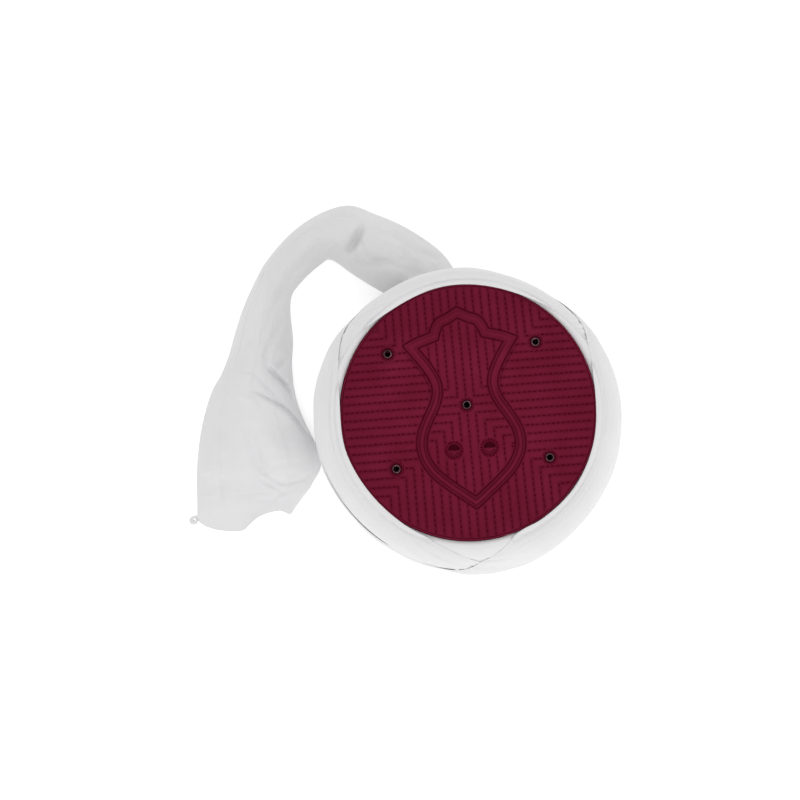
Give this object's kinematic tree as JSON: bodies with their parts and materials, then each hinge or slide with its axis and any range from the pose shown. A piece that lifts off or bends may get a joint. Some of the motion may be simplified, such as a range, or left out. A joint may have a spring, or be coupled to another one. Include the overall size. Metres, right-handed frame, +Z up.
{
  "type": "turban",
  "caption": "Flat-topped quilted cap wound with fine white cloth, whose gathered free end curls beside it on the ground.",
  "frame": {"origin": "middle of the bottom of the whole object's box, on the plane that the cap's rim and the free end rest on", "axes": "+Z up along the cap's axis, +Y towards the back of the head, +X towards the wearer's left, which is to the right for someone who looks at the front; names of pieces use that viewer's left and right"},
  "size_m": [0.3166, 0.2772, 0.1034],
  "materials": {
    "quilted_maroon": "matt cotton, quilted in close rows",
    "maroon_thread": "twisted thread, slight sheen",
    "eyelet_metal": "dull pressed metal",
    "white_voile": "fine soft plain weave, matt"
  },
  "bodies": {
    "root": {"crown_panel": "quilted_maroon", "side_band": "quilted_maroon", "worked_eyelet_left": "maroon_thread", "worked_eyelet_right": "maroon_thread", "eyelet_centre": "eyelet_metal", "eyelet_back_left": "eyelet_metal", "eyelet_back_right": "eyelet_metal", "eyelet_front_left": "eyelet_metal", "eyelet_front_right": "eyelet_metal", "wrap_core": "white_voile", "turn_back": "white_voile", "turn_left": "white_voile", "turn_right": "white_voile", "tail": "white_voile"}
  },
  "joints": []
}
